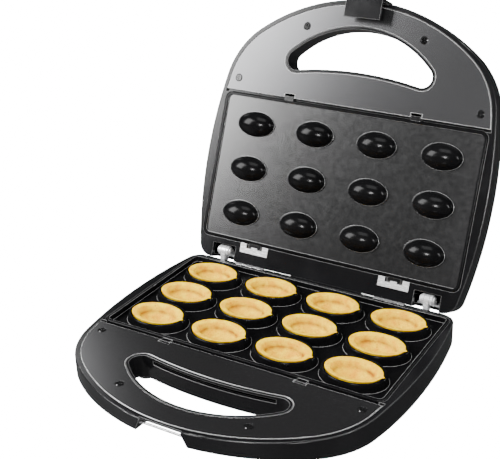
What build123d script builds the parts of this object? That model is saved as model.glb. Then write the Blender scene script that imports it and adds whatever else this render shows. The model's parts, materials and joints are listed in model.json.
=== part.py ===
from build123d import *
import os

os.makedirs("parts", exist_ok=True)

# A twelve-cup walnut cookie maker, in millimetres, with its lid open against the stop.
# The frame's origin is on the table, under the middle of the open object.
# Each half is modelled outward from the parting plane, where the two halves meet,
# on a plane of its own: x across, y to the rear, z away from the parting plane.

# Place of the object and of its hinge
PLATE_Y = -8.5
PARTING_Z = 46.0
OPEN_ANGLE = 113.0
HINGE_Y = 71.7
HINGE_RISE = 4.1

# Plan of a half
NOSE_REACH = 149.0
NOSE_RADIUS = 153.0
HALF_WIDTH = 124.5
SIDE_RADIUS = 380.0
SIDE_BULGE_Y = -8.0
SHOULDER_RADIUS = 66.0
REAR_RADIUS = 12.0
BASE_REAR_Y = 65.6
LID_REAR_Y = 79.2

# Depths of a half, from the parting plane outward
RIM_DEPTH = 1.0
NOSE_DEPTH = 12.5
SKIRT_DEPTH = 21.0
SKIRT_BREAK_Y = -30.0
FLANGE = 4.2
WALL = 2.4
RIM_EDGE = 0.8
SKIRT_EDGE = 2.4
SKIRT_EDGE_INSIDE = 1.6
SKIRT_LEAN = 0.8
CROWN_START = 14.0
CROWN_CORNER = 22.0
CROWN_EDGE = 7.0
BASE_CROWN_DEPTH = 38.0
BASE_CROWN_FOOT_SET = 16.5
BASE_CROWN_TOP_SET = 24.5
BASE_CROWN_FOOT = HALF_WIDTH - BASE_CROWN_FOOT_SET
BASE_CROWN_TOP = HALF_WIDTH - BASE_CROWN_TOP_SET
BASE_CROWN_FRONT = -74.0
BASE_CROWN_REAR = 65.0
LID_CROWN_DEPTH = 42.0
LID_CROWN_FOOT_SET = 11.5
LID_CROWN_TOP_SET = 25.5
LID_CROWN_FOOT = HALF_WIDTH - LID_CROWN_FOOT_SET
LID_CROWN_TOP = HALF_WIDTH - LID_CROWN_TOP_SET
LID_CROWN_FRONT = -82.0
LID_CROWN_REAR = 76.0

# Trim panel beside the handle hole
TRIM_THICK = 2.2
TRIM_INSET = 4.0
TRIM_REAR_Y = -63.4
TRIM_GAP = 0.3
TRIM_EDGE = 0.35
NOTCH_X = 56.0
NOTCH_WIDTH = 9.0
NOTCH_LENGTH = 3.2
LEDGE = 2.4

# Handle hole
HOLE_FRONT_Y = -128.0
HOLE_FRONT_RADIUS = 89.0
HOLE_REAR_Y = -89.2
HOLE_REAR_RADIUS = 300.0
HOLE_END_RADIUS = 10.5
HOLE_RIM = 2.4
HOLE_SLOT_HALF = 50.0
HOLE_SLOT_REACH = 9.0
HOLE_SLOT_DEEP = 3.2

# Cooking plates
PLATE_SIDE = 9.0
PLATE_HALF_X = HALF_WIDTH - PLATE_SIDE
PLATE_HALF_Y = 61.1
PLATE_CORNER = 6.0
PLATE_LIP = 2.2
PLATE_LIP_DEPTH = 0.3
PLATE_LIP_EDGE = 0.7
PLATE_SHEET = 2.5
PLATE_GAP = 0.6
LOWER_FLOOR = 5.0
UPPER_FLOOR = 1.8
TAB_LENGTH = 3.6
TAB_THICK = 1.4
REAR_TAB_SIDE = 52.3
REAR_TAB_X = PLATE_HALF_X - REAR_TAB_SIDE
REAR_TAB_WIDTH = 11.0
BASE_REAR_TAB = 1.7

# Spring clips over the plates' rear tabs
CLIP_WIDTH = 26.0
CLIP_SHEET = 0.8
BASE_CLIP_BACK = 2.0
LID_CLIP_BACK = 4.2
CLIP_PRONG = 5.4
CLIP_OVERHANG = 1.4

# Cups, bumps and baked shells
CUPS_X = 4
CUPS_Y = 3
CUPS_SIDE = 5.5
PITCH_X = 2 * (PLATE_HALF_X - CUPS_SIDE) / CUPS_X
PITCH_Y = 37.5
CUP_SPACE = 5.4
CUP_HALF_X = PITCH_X / 2 - CUP_SPACE
CUP_HALF_Y = 16.0
CUP_WALL = 2.4
COLLAR_RISE = 1.5
COLLAR_EDGE = 0.3
DRAFT = 0.6
COLLAR_TOP_WALL = 1.2
COLLAR_FOOT_WALL_X = 3.6
COLLAR_FOOT_WALL_Y = 2.3
SHELL_WALL_X = 5.2
BUMP_HALF_X = CUP_HALF_X - SHELL_WALL_X
BUMP_HALF_Y = 10.5
BUMP_SHEET = 2.0
BAKE_GAP = 0.3
SPOUT_RADIUS = 1.2
SPOUT_X = 22.0
SPOUT_LENGTH = 2.4
SPOUT_DEPTH = -0.4

# Hinges
HINGE_SIDE = 32.5
HINGE_X = HALF_WIDTH - HINGE_SIDE
EAR_RADIUS = 4.2
PIN_RADIUS = 2.0
PIN_FIT = 0.05
BASE_EAR_THICK = 4.0
LID_EAR_THICK = 2.0
EAR_GAP = 0.4
BRACKET_SHEET = 1.6
BRACKET_HALF_X = 10.5
BASE_BRACKET_NEAR = 3.0
BASE_BRACKET_FAR = 15.0
LID_BRACKET_NEAR = 11.2
LID_BRACKET_FAR = 17.0
BRACKET_SCREW_X = 7.8
BRACKET_SCREW_HEAD = 2.2
BRACKET_SCREW_SHANK = 1.1
BRACKET_SCREW_HOLE = 1.2
PIN_HEAD = 3.2
PIN_HEAD_THICK = 1.2
PIN_END_GAP = 0.3
HINGE_SLOT_HALF = 11.0
HINGE_SLOT_Y = 66.4

# Latch and its catch
LATCH_HALF_X = 15.5
LATCH_PIVOT_Y = -144.6
LATCH_PIVOT_DEPTH = 7.8
LATCH_PIN_RADIUS = 1.5
LATCH_BARREL = 3.4
LATCH_ARM = 2.8
LATCH_FRONT_GAP = 0.3
LATCH_NICK = 2.0
LATCH_NICK_HALF = 16.4
LATCH_TOP = 10.8
LATCH_LIP = 2.0
LATCH_LIP_Y = -133.0
LATCH_EDGE = 1.6
POCKET_HALF_X = 16.0
POCKET_REAR_Y = -139.6
POCKET_ROOF = 0.6
LATCH_PIN_HALF = 18.2
CATCH_RADIUS = 0.9
CATCH_Y = -145.0
CATCH_DEPTH = 6.4
CATCH_GAP = 0.35
BAY_TOP_HALF = 16.0
BAY_LOW_HALF = 20.5
BAY_REAR_Y = -132.0
BAY_START = 2.6
CATCH_HALF_X = 19.6

# Screws
SCREW_HEAD = 2.9
SCREW_HEAD_HIGH = 1.5
SCREW_SHANK = 1.4
SCREW_HOLE = 1.5
SCREW_LENGTH = 8.0
SCREW_SKIN = 0.6
RECESS_LONG = 1.2
RECESS_WIDE = 0.28
BOSS_RADIUS = 3.8
TRIM_SCREW_SIDE = 18.0
TRIM_SCREW_X = HALF_WIDTH - TRIM_SCREW_SIDE
TRIM_SCREWS = [(-TRIM_SCREW_X, -73.6), (-51.1, -123.0), (51.1, -123.0), (TRIM_SCREW_X, -73.6)]
PLATE_POST_SIDE = 6.0
PLATE_POST_X = PLATE_HALF_X - PLATE_POST_SIDE
PLATE_POST_Y = 54.5
POST_SHOULDER = 5.6

# Heaters and reflectors
HEATER_RADIUS = 3.3
HEATER_SEAT = 0.3
HEATER_SIDE = 9.5
HEATER_LEAD_SIDE = 5.0
HEATER_X = PLATE_HALF_X - HEATER_SIDE
HEATER_LEAD_X = HEATER_X - HEATER_LEAD_SIDE
HEATER_BEND = 14.0
TERMINAL_RADIUS = 1.2
TERMINAL_LENGTH = 7.0
REFLECTOR_SHEET = 0.8
REFLECTOR_SIDE = 0.5
REFLECTOR_HALF_X = PLATE_HALF_X - REFLECTOR_SIDE
REFLECTOR_HALF_Y = 59.8
REFLECTOR_WALL = 3.0
LOWER_REFLECTOR = 17.4
UPPER_REFLECTOR = 12.4
REFLECTOR_POST_GAP = 0.3

# Rear box, gland, lamps, controls and feet
BOX_HALF_X = 30.0
BOX_TOP = 2.6
BOX_TOP_Y = 76.0
BOX_REAR_Y = 87.0
BOX_LOW = 34.0
BOX_CORNER = 4.0
STOP_GAP = 0.4
GLAND_DEPTH = 22.0
GLAND_BORE = 3.3
GLAND_BARREL = 5.0
GLAND_FLANGE = 7.5
GLAND_FLANGE_THICK = 2.0
GLAND_INNER_LENGTH = 4.0
GLAND_COLLAR = 2.5
LAMP_X = 11.0
LAMP_Y = -50.0
LENS_BARREL = 4.4
LENS_FLANGE = 5.6
LENS_RISE = 1.8
LENS_LENGTH = 4.0
LAMP_RADIUS = 3.4
LAMP_LENGTH = 11.0
LAMP_GAP = 0.3
THERMOSTAT_Y = -51.0
THERMOSTAT_RADIUS = 6.4
THERMOSTAT_HIGH = 7.6
THERMOSTAT_FLANGE = 7.4
THERMOSTAT_FLANGE_THICK = 1.0
BLADE_X = 2.6
BLADE_WIDTH = 3.0
BLADE_THICK = 0.8
BLADE_LENGTH = 5.0
FUSE_RADIUS = 1.9
FUSE_HALF = 7.5
FUSE_LEAD = 0.6
FUSE_LEAD_HALF = 14.0
FUSE_Y = 56.0
BLOCK_X = 26.0
BLOCK_Y = 11.0
BLOCK_HIGH = 11.0
BLOCK_POLE = 2.8
BLOCK_POLES = 3
BLOCK_EDGE = 1.0
FOOT_SIDE = 38.5
FOOT_X = HALF_WIDTH - FOOT_SIDE
FOOT_FRONT_Y = -52.0
FOOT_REAR_Y = 56.0
FOOT_RADIUS = 8.0
FOOT_TAPER = 6.0
FOOT_PAD = 9.4
FOOT_PEG = 3.0
FOOT_SINK = 1.6
FOOT_EDGE = 1.2

# The two halves' planes, and each one's side view
parting = Location((0, PLATE_Y, PARTING_Z))
hinge = Location((0, PLATE_Y + HINGE_Y, PARTING_Z + HINGE_RISE))
swing = hinge * Rotation(-OPEN_ANGLE, 0, 0) * hinge.inverse()
base = Plane(parting.position, x_dir=(-1, 0, 0), z_dir=(0, 0, -1))
lid = Plane(swing * parting)


def side_of(half, x=0.0):
    """The side view of a half: rearward across, outward up, at a place along x."""
    origin = half.from_local_coords(Vector(x, 0, 0))
    return Plane(origin, x_dir=half.y_dir, z_dir=half.x_dir)


def across(half, y, facing):
    """The view along a half's y axis: x across, depth up, its normal to the rear where facing is 1."""
    origin = half.from_local_coords(Vector(0, y, 0))
    return Plane(origin, x_dir=half.x_dir * -facing, z_dir=half.y_dir * facing)


def half_plan(rear_y, inset=0.0):
    """Plan of a half: a nose arc between two bowed sides, with round shoulders and rear corners."""
    with BuildSketch(mode=Mode.PRIVATE) as plan:
        with Locations((0, NOSE_RADIUS - NOSE_REACH)):
            Circle(NOSE_RADIUS)
        for side in (-1, 1):
            with Locations((side * (HALF_WIDTH - SIDE_RADIUS), SIDE_BULGE_Y)):
                Circle(SIDE_RADIUS, mode=Mode.INTERSECT)
        with Locations((0, rear_y)):
            Rectangle(3 * HALF_WIDTH, 3 * NOSE_REACH, align=(Align.CENTER, Align.MAX), mode=Mode.INTERSECT)
        fillet(plan.vertices().group_by(Axis.Y)[-1], REAR_RADIUS)
        fillet(plan.vertices().group_by(Axis.Y)[0], SHOULDER_RADIUS)
        if inset:
            offset(amount=-inset)
    return plan.sketch


def handle_hole(grow=0.0):
    """The handle hole: a crescent between a tight front arc and a flat rear arc."""
    with BuildSketch(mode=Mode.PRIVATE) as hole:
        with Locations((0, HOLE_FRONT_Y + HOLE_FRONT_RADIUS)):
            Circle(HOLE_FRONT_RADIUS)
        with Locations((0, HOLE_REAR_Y + HOLE_REAR_RADIUS)):
            Circle(HOLE_REAR_RADIUS, mode=Mode.SUBTRACT)
        fillet(hole.vertices(), HOLE_END_RADIUS)
        if grow:
            offset(amount=grow)
    return hole.sketch


def skirt_profile(rear_y, inset=0.0):
    """Side view of the skirt: shallow at the nose, deeper from the plates to the rear."""
    deep = SKIRT_DEPTH - inset
    front = -NOSE_REACH - WALL
    with BuildSketch(mode=Mode.PRIVATE) as profile:
        with BuildLine():
            TangentArc((SKIRT_BREAK_Y, deep), (front, NOSE_DEPTH - inset), tangent=(-1, 0))
            Polyline(
                (front, NOSE_DEPTH - inset),
                (front, 0),
                (rear_y + WALL, 0),
                (rear_y + WALL, deep),
                (SKIRT_BREAK_Y, deep),
            )
        make_face()
    return profile.sketch


def crown_block(half, crown, inset):
    """The crown on a half's far side: four drafted sides and a rounded top edge."""
    foot_x, front_y, back_y, top_x, depth = crown
    slope = foot_x - top_x
    with BuildPart(mode=Mode.PRIVATE) as block:
        for height, draw_in in ((CROWN_START, 0), (depth - inset, slope)):
            with BuildSketch(half.offset(height)):
                with Locations((0, (front_y + back_y) / 2)):
                    RectangleRounded(
                        2 * (foot_x - inset - draw_in),
                        back_y - front_y - 2 * (inset + draw_in),
                        CROWN_CORNER - inset,
                    )
        loft(ruled=True)
        outward = Axis(half.origin, half.z_dir)
        fillet(block.faces().sort_by(outward)[-1].edges(), CROWN_EDGE - inset)
    return block.part


def outer_edges(faces):
    """The edges that only one of some faces has."""
    edges = faces.edges()
    return ShapeList([edge for edge in edges if sum(other.is_same(edge) for other in edges) == 1])


def filled_half(half, rear_y, crown, inset=0.0):
    """A half as one filled solid, or its hollow where inset is the wall."""
    outward = Axis(half.origin, half.z_dir)
    with BuildPart(mode=Mode.PRIVATE) as body:
        with BuildSketch(half.offset(RIM_DEPTH)):
            add(half_plan(rear_y, inset))
        extrude(amount=SKIRT_DEPTH)
        if not inset:
            fillet(body.faces().sort_by(outward)[0].edges(), RIM_EDGE)
        with BuildSketch(side_of(half)):
            add(skirt_profile(rear_y, inset))
        extrude(amount=2 * HALF_WIDTH, both=True, mode=Mode.INTERSECT)
        back = body.faces().filter_by(
            lambda face: half.to_local_coords(face.center()).Z > NOSE_DEPTH - inset
            and abs(face.normal_at().dot(half.z_dir)) > SKIRT_LEAN
        )
        fillet(outer_edges(back), SKIRT_EDGE_INSIDE if inset else SKIRT_EDGE)
        add(crown_block(half, crown, inset))
    return body.part


plate_posts = [
    (side * PLATE_POST_X, end * PLATE_POST_Y) for side in (-1, 1) for end in (-1, 1)
]
front_tabs = [(side * NOTCH_X, -PLATE_HALF_Y) for side in (-1, 1)]
rear_tabs = [(side * REAR_TAB_X, PLATE_HALF_Y) for side in (-1, 1)]
trim_seat = RIM_DEPTH + TRIM_THICK
foot_spots = [(side * FOOT_X, y) for side in (-1, 1) for y in (FOOT_FRONT_Y, FOOT_REAR_Y)]
foot_height = PARTING_Z - BASE_CROWN_DEPTH
base_crown = (BASE_CROWN_FOOT, BASE_CROWN_FRONT, BASE_CROWN_REAR, BASE_CROWN_TOP, BASE_CROWN_DEPTH)
lid_crown = (LID_CROWN_FOOT, LID_CROWN_FRONT, LID_CROWN_REAR, LID_CROWN_TOP, LID_CROWN_DEPTH)


def in_front_of(limit_y):
    """Everything in a sketch that lies in front of a line across it."""
    with BuildSketch(mode=Mode.PRIVATE) as front:
        with Locations((0, limit_y)):
            Rectangle(3 * HALF_WIDTH, 3 * NOSE_REACH, align=(Align.CENTER, Align.MAX))
    return front.sketch


def room_in(half, hollow):
    """A half's hollow behind its flange, less the column that becomes the handle hole's wall."""
    with BuildPart(mode=Mode.PRIVATE) as inside:
        add(hollow)
        with BuildSketch(half):
            Rectangle(3 * HALF_WIDTH, 4 * NOSE_REACH)
        extrude(amount=RIM_DEPTH + FLANGE, mode=Mode.SUBTRACT)
        with BuildSketch(half):
            add(handle_hole())
        extrude(amount=2 * SKIRT_DEPTH, mode=Mode.SUBTRACT)
    return inside.part


def stands_in(half, outside, plate_back, reflector_depth):
    """Posts and bosses on the housing's floor, and the bulkhead that parts the handle from the heat."""
    with BuildPart(mode=Mode.PRIVATE) as stands:
        for spots, start, radius in (
            (plate_posts, plate_back, BOSS_RADIUS),
            (plate_posts, reflector_depth + REFLECTOR_SHEET, POST_SHOULDER),
            (TRIM_SCREWS, trim_seat, BOSS_RADIUS),
        ):
            with BuildSketch(half.offset(start)):
                with Locations(*spots):
                    Circle(radius)
            extrude(amount=2 * SKIRT_DEPTH)
        with BuildSketch(half.offset(trim_seat)):
            with Locations((0, -PLATE_HALF_Y - 2 * PLATE_GAP)):
                Rectangle(2 * HALF_WIDTH, WALL, align=(Align.CENTER, Align.MAX))
        extrude(amount=SKIRT_DEPTH)
        add(outside, mode=Mode.INTERSECT)
    return stands.part


def moulded_half(half, outside, hollow, rear_y, floor_depth, reflector_depth, tab_length):
    """The housing of a half: its wall, flange, trim ledge, handle-hole wall, posts and bulkhead."""
    flange_back = RIM_DEPTH + FLANGE
    with BuildPart() as shell:
        add(outside)
        add(room_in(half, hollow), mode=Mode.SUBTRACT)
        # the neck under the trim's ledge, then the trim's own pocket
        with BuildSketch(half):
            add(half_plan(rear_y, TRIM_INSET + LEDGE))
            add(in_front_of(TRIM_REAR_Y), mode=Mode.INTERSECT)
            add(handle_hole(), mode=Mode.SUBTRACT)
        extrude(amount=flange_back, mode=Mode.SUBTRACT)
        with BuildSketch(half):
            add(half_plan(rear_y, TRIM_INSET - TRIM_GAP))
            add(in_front_of(-PLATE_HALF_Y), mode=Mode.INTERSECT)
            add(handle_hole(-TRIM_GAP), mode=Mode.SUBTRACT)
        extrude(amount=trim_seat, mode=Mode.SUBTRACT)
        # the opening that the plate drops into, with a seat for each rear tab
        with BuildSketch(half):
            RectangleRounded(
                2 * (PLATE_HALF_X + PLATE_GAP), 2 * (PLATE_HALF_Y + PLATE_GAP), PLATE_CORNER + PLATE_GAP
            )
        extrude(amount=flange_back, mode=Mode.SUBTRACT)
        with BuildSketch(half):
            with Locations(*rear_tabs):
                Rectangle(REAR_TAB_WIDTH + 2 * PLATE_GAP, 2 * (tab_length + PLATE_GAP))
        extrude(amount=RIM_DEPTH + TAB_THICK, mode=Mode.SUBTRACT)
        add(stands_in(half, outside, floor_depth + PLATE_SHEET, reflector_depth))
        with BuildSketch(half):
            add(handle_hole(-HOLE_RIM))
        extrude(amount=2 * SKIRT_DEPTH, mode=Mode.SUBTRACT)
        # the slot along the rear side of the handle hole, just under the panel
        with BuildSketch(half.offset(trim_seat)):
            with Locations((0, HOLE_REAR_Y)):
                Rectangle(2 * HOLE_SLOT_HALF, 2 * HOLE_SLOT_REACH)
        extrude(amount=HOLE_SLOT_DEEP, mode=Mode.SUBTRACT)
        with BuildSketch(half.offset(trim_seat)):
            with Locations(*TRIM_SCREWS):
                Circle(SCREW_HOLE)
        extrude(amount=SCREW_LENGTH, mode=Mode.SUBTRACT)
    return shell.part


def trim_panel(half):
    """The satin panel that frames the handle hole, with its screw seats and tab notches."""
    with BuildPart() as panel:
        with BuildSketch(half.offset(RIM_DEPTH)):
            add(half_plan(BASE_REAR_Y, TRIM_INSET))
            add(in_front_of(TRIM_REAR_Y), mode=Mode.INTERSECT)
            add(handle_hole(), mode=Mode.SUBTRACT)
            with Locations(*((side * NOTCH_X, TRIM_REAR_Y) for side in (-1, 1))):
                Rectangle(NOTCH_WIDTH, 2 * NOTCH_LENGTH, mode=Mode.SUBTRACT)
            with Locations(*TRIM_SCREWS):
                Circle(SCREW_HOLE, mode=Mode.SUBTRACT)
        extrude(amount=TRIM_THICK)
        chamfer(panel.faces().sort_by(Axis(half.origin, half.z_dir))[0].edges(), TRIM_EDGE)
        with BuildSketch(half.offset(RIM_DEPTH)):
            with Locations(*TRIM_SCREWS):
                Circle(SCREW_HEAD + TRIM_GAP)
        extrude(amount=TRIM_THICK / 2, mode=Mode.SUBTRACT)
    return panel.part


def screw_set(seat, spots, length, head, shank):
    """Cross-recessed screws whose heads sit on a plane and whose shanks run along its normal."""
    with BuildPart() as screws:
        with BuildSketch(seat):
            with Locations(*spots):
                Circle(shank)
        extrude(amount=length)
        with BuildSketch(seat):
            with Locations(*spots):
                Circle(head)
        extrude(amount=-SCREW_HEAD_HIGH)
        heads = screws.faces().group_by(Axis(seat.origin, seat.z_dir))[0]
        chamfer(heads.edges(), SCREW_HEAD_HIGH / 3)
        with BuildSketch(seat.offset(-SCREW_HEAD_HIGH)):
            with Locations(*spots):
                Rectangle(RECESS_LONG * head, RECESS_WIDE * head)
                Rectangle(RECESS_WIDE * head, RECESS_LONG * head)
        extrude(amount=SCREW_HEAD_HIGH / 2, mode=Mode.SUBTRACT)
    return screws.part


def egg(half_x, half_y):
    """Half a walnut's form: an ellipse turned about its long axis."""
    with BuildPart(mode=Mode.PRIVATE) as form:
        with BuildSketch():
            Ellipse(half_x, half_y)
            Rectangle(2 * half_x, half_y, align=(Align.CENTER, Align.MAX), mode=Mode.SUBTRACT)
        revolve(axis=Axis.X)
    return form.part


def grid_on(half):
    """The places of the cups, or of the bumps over them, on a half."""
    return [half.location * place for place in GridLocations(PITCH_X, PITCH_Y, CUPS_X, CUPS_Y).locations]


def plate_tray(half, floor_depth, tab_length):
    """A cooking plate's sheet, with its raised lip and the tabs that hold it front and rear."""
    lip_x = 2 * (PLATE_HALF_X - PLATE_LIP)
    lip_y = 2 * (PLATE_HALF_Y - PLATE_LIP)
    with BuildPart() as tray:
        with BuildSketch(half.offset(PLATE_LIP_DEPTH)):
            RectangleRounded(2 * PLATE_HALF_X, 2 * PLATE_HALF_Y, PLATE_CORNER)
        extrude(amount=floor_depth + PLATE_SHEET - PLATE_LIP_DEPTH)
        fillet(tray.faces().sort_by(Axis(half.origin, half.z_dir))[0].edges(), PLATE_LIP_EDGE)
        with BuildSketch(half.offset(RIM_DEPTH)):
            with Locations(*front_tabs):
                Rectangle(NOTCH_WIDTH - 2 * PLATE_GAP, 2 * TAB_LENGTH)
            with Locations(*rear_tabs):
                Rectangle(REAR_TAB_WIDTH, 2 * tab_length)
        extrude(amount=TAB_THICK)
        with BuildSketch(half):
            RectangleRounded(lip_x, lip_y, PLATE_CORNER - PLATE_LIP)
        extrude(amount=floor_depth, mode=Mode.SUBTRACT)
    return tray.part


def clip_pair(half, rear_y, back):
    """Flat spring clips on the rear flange, whose middle prongs reach over the plate's tabs."""
    with BuildPart() as clips:
        with BuildSketch(half.offset(RIM_DEPTH - CLIP_SHEET)):
            with Locations(*((side * REAR_TAB_X, rear_y) for side in (-1, 1))):
                Rectangle(CLIP_WIDTH, back, align=(Align.CENTER, Align.MAX))
            for offset_x in (-1, 1):
                prong_x = offset_x * (CLIP_WIDTH - CLIP_PRONG) / 2
                with Locations(*((side * REAR_TAB_X + prong_x, rear_y) for side in (-1, 1))):
                    Rectangle(
                        CLIP_PRONG, rear_y - PLATE_HALF_Y - PLATE_GAP, align=(Align.CENTER, Align.MAX)
                    )
            with Locations(*((side * REAR_TAB_X, rear_y) for side in (-1, 1))):
                Rectangle(CLIP_PRONG, back + CLIP_OVERHANG, align=(Align.CENTER, Align.MAX))
        extrude(amount=CLIP_SHEET)
    return clips.part


def heater_loop(half, plate_back):
    """A hairpin tube between the cup rows, 0.3 mm off the plate's back, with a stud at each end."""
    depth = plate_back + HEATER_SEAT + HEATER_RADIUS
    row_y = PITCH_Y / 2
    with BuildPart() as heater:
        with BuildLine(half.offset(depth)) as route:
            FilletPolyline(
                (HEATER_LEAD_X, row_y), (-HEATER_X, row_y), (-HEATER_X, -row_y), (HEATER_LEAD_X, -row_y),
                radius=HEATER_BEND,
            )
        with BuildSketch(Plane(route.line @ 0, z_dir=route.line % 0)):
            Circle(HEATER_RADIUS)
        sweep()
        for end in (0, 1):
            outward = Plane(route.line @ end, z_dir=(route.line % end) * (2 * end - 1))
            with BuildSketch(outward):
                Circle(TERMINAL_RADIUS)
            extrude(amount=TERMINAL_LENGTH)
    return heater.part


def reflector_tray(half, depth):
    """A thin bright tray behind the heater, pierced for the posts that it stands on."""
    with BuildPart() as tray:
        with BuildSketch(half.offset(depth)):
            RectangleRounded(2 * REFLECTOR_HALF_X, 2 * REFLECTOR_HALF_Y, PLATE_CORNER)
        extrude(amount=REFLECTOR_SHEET)
        with BuildSketch(half.offset(depth)):
            RectangleRounded(2 * REFLECTOR_HALF_X, 2 * REFLECTOR_HALF_Y, PLATE_CORNER)
            RectangleRounded(
                2 * (REFLECTOR_HALF_X - REFLECTOR_SHEET),
                2 * (REFLECTOR_HALF_Y - REFLECTOR_SHEET),
                PLATE_CORNER - REFLECTOR_SHEET,
                mode=Mode.SUBTRACT,
            )
        extrude(amount=-REFLECTOR_WALL)
        with BuildSketch(half.offset(depth)):
            with Locations(*plate_posts):
                Circle(BOSS_RADIUS + REFLECTOR_POST_GAP)
            with Locations((0, THERMOSTAT_Y)):
                Circle(THERMOSTAT_RADIUS + REFLECTOR_POST_GAP)
        extrude(amount=REFLECTOR_SHEET, mode=Mode.SUBTRACT)
    return tray.part


def thermostat(half, seat):
    """A snap-disc thermostat: a flange on the plate's back, a round body and two blade terminals."""
    with BuildPart() as control:
        for radius, height in (
            (THERMOSTAT_FLANGE, THERMOSTAT_FLANGE_THICK),
            (THERMOSTAT_RADIUS, THERMOSTAT_HIGH),
        ):
            with BuildSketch(half.offset(seat)):
                with Locations((0, THERMOSTAT_Y)):
                    Circle(radius)
            extrude(amount=height)
        with BuildSketch(half.offset(seat)):
            with Locations(*((side * BLADE_X, THERMOSTAT_Y) for side in (-1, 1))):
                Rectangle(BLADE_THICK, BLADE_WIDTH)
        extrude(amount=THERMOSTAT_HIGH + BLADE_LENGTH)
    return control.part


def hinge_circle(half, radius):
    """A circle round the hinge line in a half's side view."""
    rise = HINGE_RISE * (1 if half is lid else -1)
    with BuildSketch(mode=Mode.PRIVATE) as ring:
        with Locations((HINGE_Y, rise)):
            Circle(radius)
    return ring.sketch


def bracket_pair(half, wall_y, align, near, far, ears, thick):
    """Steel hinge brackets: a plate on the housing's rear wall, and ears that reach to the pin."""
    screw_spots = [
        (side * HINGE_X + offset_x, (near + far) / 2)
        for side in (-1, 1)
        for offset_x in (-BRACKET_SCREW_X, BRACKET_SCREW_X)
    ]
    beyond = (Align.MIN if align[0] is Align.MAX else Align.MAX, Align.MIN)
    with BuildPart() as brackets:
        for side in (-1, 1):
            for ear_x in ears:
                with BuildSketch(side_of(half, side * HINGE_X + ear_x)):
                    add(hinge_circle(half, EAR_RADIUS))
                    with Locations((wall_y, (near + far) / 2)):
                        Rectangle(BRACKET_SHEET, far - near, align=align)
                    make_hull()
                    # the ear keeps off the wall that its plate lies against
                    with Locations((wall_y, near)):
                        Rectangle(EAR_RADIUS, 2 * (far - near), align=beyond, mode=Mode.SUBTRACT)
                extrude(amount=thick / 2, both=True)
            with BuildSketch(side_of(half, side * HINGE_X)):
                with Locations((wall_y, (near + far) / 2)):
                    Rectangle(BRACKET_SHEET, far - near, align=align)
            extrude(amount=BRACKET_HALF_X, both=True)
        with BuildSketch(side_of(half)):
            add(hinge_circle(half, PIN_RADIUS + PIN_FIT))
        extrude(amount=HALF_WIDTH, both=True, mode=Mode.SUBTRACT)
        with BuildSketch(across(half, wall_y, 1)):
            with Locations(*screw_spots):
                Circle(BRACKET_SCREW_HOLE)
        extrude(amount=BRACKET_SHEET, both=True, mode=Mode.SUBTRACT)
    return brackets.part, screw_spots


def rear_box(inset=0.0):
    """The wiring box behind the base, whose top clears the open lid by the stop's gap."""
    wall_near = base.to_local_coords(lid.from_local_coords(Vector(0, LID_REAR_Y, RIM_DEPTH)))
    wall_far = base.to_local_coords(lid.from_local_coords(Vector(0, LID_REAR_Y, SKIRT_DEPTH)))
    slope = (wall_far.Z - wall_near.Z) / (wall_far.Y - wall_near.Y)

    def under_lid(y):
        return wall_near.Z + slope * (y - wall_near.Y) + STOP_GAP + inset

    front_y = BASE_REAR_Y - REAR_RADIUS
    rear_y = BOX_REAR_Y - inset
    top = max(BOX_TOP + inset, under_lid(BOX_TOP_Y))
    with BuildPart(mode=Mode.PRIVATE) as box:
        with BuildSketch(side_of(base)):
            with BuildLine():
                Polyline(
                    (front_y, top),
                    (BOX_TOP_Y, top),
                    (rear_y, under_lid(rear_y)),
                    (rear_y, BOX_LOW - inset),
                    (front_y, BOX_LOW - inset),
                    close=True,
                )
            make_face()
        extrude(amount=BOX_HALF_X - inset, both=True)
        rear = box.faces().sort_by(Axis.Y)[-1]
        fillet(rear.edges().filter_by(Axis.Z), BOX_CORNER - inset)
    return box.part


def pocket_block(half, outside, profile, rear_y, grow):
    """A pocket at the nose, cut along y to its rear, or the block of wall round it where it grows."""
    with BuildPart(mode=Mode.PRIVATE) as block:
        with BuildSketch(across(half, -NOSE_REACH - LATCH_ARM, 1)):
            add(profile)
            if grow:
                offset(amount=grow, kind=Kind.INTERSECTION)
        extrude(amount=rear_y + grow + NOSE_REACH + LATCH_ARM)
        if grow:
            add(outside, mode=Mode.INTERSECT)
            with BuildSketch(half):
                Rectangle(3 * HALF_WIDTH, 4 * NOSE_REACH)
            extrude(amount=trim_seat, mode=Mode.SUBTRACT)
    return block.part


def nose_nick(half, depth):
    """The flat cut back into a half's nose that lets the latch's arm lie close."""
    with BuildPart(mode=Mode.PRIVATE) as nick:
        with BuildSketch(half):
            with Locations((0, LATCH_NICK - NOSE_REACH)):
                Rectangle(2 * LATCH_NICK_HALF, 2 * LATCH_NICK, align=(Align.CENTER, Align.MAX))
        extrude(amount=depth)
    return nick.part


# Base housing: the skirt and crown, the wiring box and four pads for the feet
with BuildPart(mode=Mode.PRIVATE) as base_outside:
    add(filled_half(base, BASE_REAR_Y, base_crown))
    add(rear_box())
    with BuildSketch(base.offset(CROWN_START)):
        with Locations(*foot_spots):
            Circle(FOOT_PAD)
    extrude(amount=BASE_CROWN_DEPTH - CROWN_START)
with BuildPart(mode=Mode.PRIVATE) as base_hollow:
    add(filled_half(base, BASE_REAR_Y, base_crown, WALL))
    add(rear_box(WALL))

# The latch's bay in the base's nose: straight at the rim, wider toward the table
bay_slope = (BAY_LOW_HALF - BAY_TOP_HALF) / (NOSE_DEPTH - BAY_START)
bay_reach = SKIRT_DEPTH - BAY_START
with BuildSketch(mode=Mode.PRIVATE) as bay_profile:
    with BuildLine():
        Polyline(
            (-BAY_TOP_HALF, BAY_START),
            (BAY_TOP_HALF, BAY_START),
            (BAY_TOP_HALF + bay_slope * bay_reach, BAY_START + bay_reach),
            (-BAY_TOP_HALF - bay_slope * bay_reach, BAY_START + bay_reach),
            close=True,
        )
    make_face()

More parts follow.
